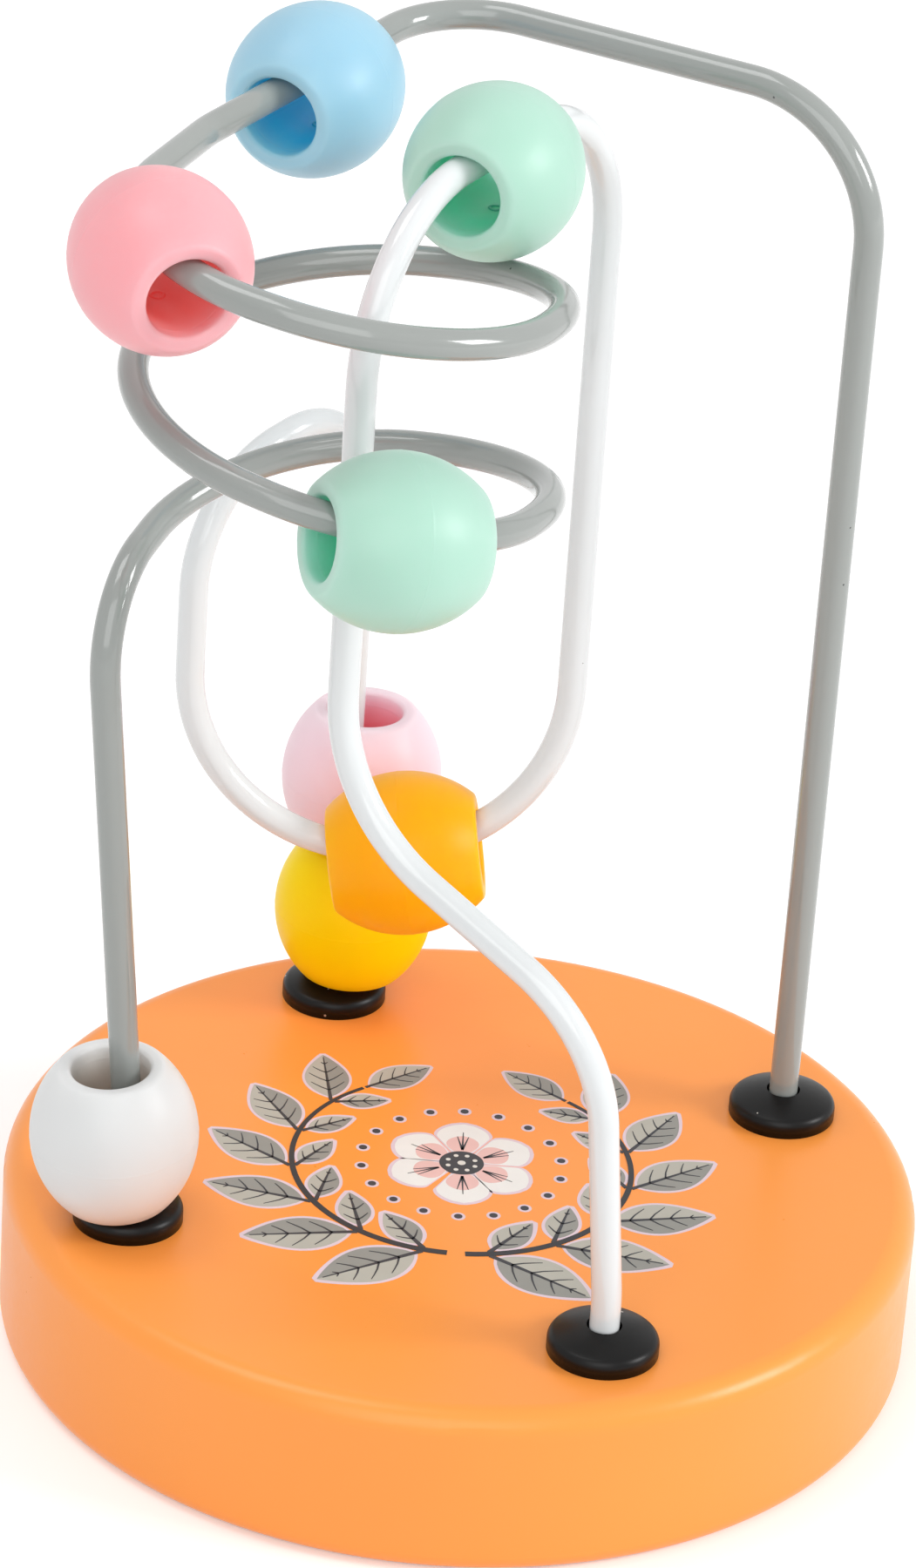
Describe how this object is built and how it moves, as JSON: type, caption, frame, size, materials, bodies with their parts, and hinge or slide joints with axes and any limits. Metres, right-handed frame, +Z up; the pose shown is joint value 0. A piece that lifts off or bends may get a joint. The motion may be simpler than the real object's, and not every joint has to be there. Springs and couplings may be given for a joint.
{
  "type": "bead maze",
  "caption": "Small bead maze toy: round painted base with bent coated wires, one of them coiled, that carry loose barrel beads which slide along them.",
  "frame": {"origin": "centre of the base's underside", "axes": "+Z up; the grey wire's feet stand on the X axis, its coil on the -X side; the white wire's feet stand on the Y axis"},
  "size_m": [0.1111, 0.11, 0.1588],
  "materials": {
    "base_paint": "satin paint",
    "grey_coating": "gloss coating",
    "white_coating": "gloss coating",
    "collar_plastic": "gloss",
    "white_plastic": "satin",
    "mint_plastic": "satin",
    "pink_plastic": "satin",
    "blue_plastic": "satin",
    "orange_plastic": "satin",
    "yellow_plastic": "satin",
    "pale_pink_plastic": "satin"
  },
  "bodies": {
    "frame": {"base": "base_paint", "grey_wire": "grey_coating", "white_wire": "white_coating", "left_collar": "collar_plastic", "front_collar": "collar_plastic", "right_collar": "collar_plastic", "back_collar": "collar_plastic"},
    "white_bead": {"white_bead": "white_plastic"},
    "lower_mint_bead": {"lower_mint_bead": "mint_plastic"},
    "upper_pink_bead": {"upper_pink_bead": "pink_plastic"},
    "blue_bead": {"blue_bead": "blue_plastic"},
    "upper_mint_bead": {"upper_mint_bead": "mint_plastic"},
    "orange_bead": {"orange_bead": "orange_plastic"},
    "yellow_bead": {"yellow_bead": "yellow_plastic"},
    "rear_pink_bead": {"rear_pink_bead": "pale_pink_plastic"}
  },
  "joints": [
    {"name": "white_bead_on_left_post", "type": "slide", "parent": "frame", "child": "white_bead", "axis": [-0.0871, -0.0106, 0.9961], "range_m": [0, 0.05]},
    {"name": "lower_mint_bead_round_coil", "type": "hinge", "parent": "frame", "child": "lower_mint_bead", "pos_m": [-0.02354, -0.0069, 0.12285], "axis": [-0.2141, 0.0446, -0.9758], "range_deg": [-80, 40]},
    {"name": "upper_pink_bead_round_coil", "type": "hinge", "parent": "frame", "child": "upper_pink_bead", "pos_m": [-0.02404, -0.00616, 0.14707], "axis": [-0.0874, 0.0851, -0.9925], "range_deg": [-80, 40]},
    {"name": "blue_bead_on_top_bar", "type": "slide", "parent": "frame", "child": "blue_bead", "axis": [0.8334, 0.5491, 0.0625], "range_m": [-0.014, 0.005]},
    {"name": "upper_mint_bead_on_arch", "type": "slide", "parent": "frame", "child": "upper_mint_bead", "axis": [0.7967, 0.6044, 0], "range_m": [-0.008, 0.012]},
    {"name": "orange_bead_round_dip", "type": "hinge", "parent": "frame", "child": "orange_bead", "pos_m": [-0.00445, 0.02277, 0.07692], "axis": [0.3909, 0.9161, -0.0891], "range_deg": [-70, 20]},
    {"name": "yellow_bead_on_back_leg", "type": "slide", "parent": "frame", "child": "yellow_bead", "axis": [0, 0, 1], "range_m": [0, 0.014]},
    {"name": "rear_pink_bead_on_back_leg", "type": "slide", "parent": "yellow_bead", "child": "rear_pink_bead", "axis": [0, 0, 1], "range_m": [0, 0.016]}
  ]
}
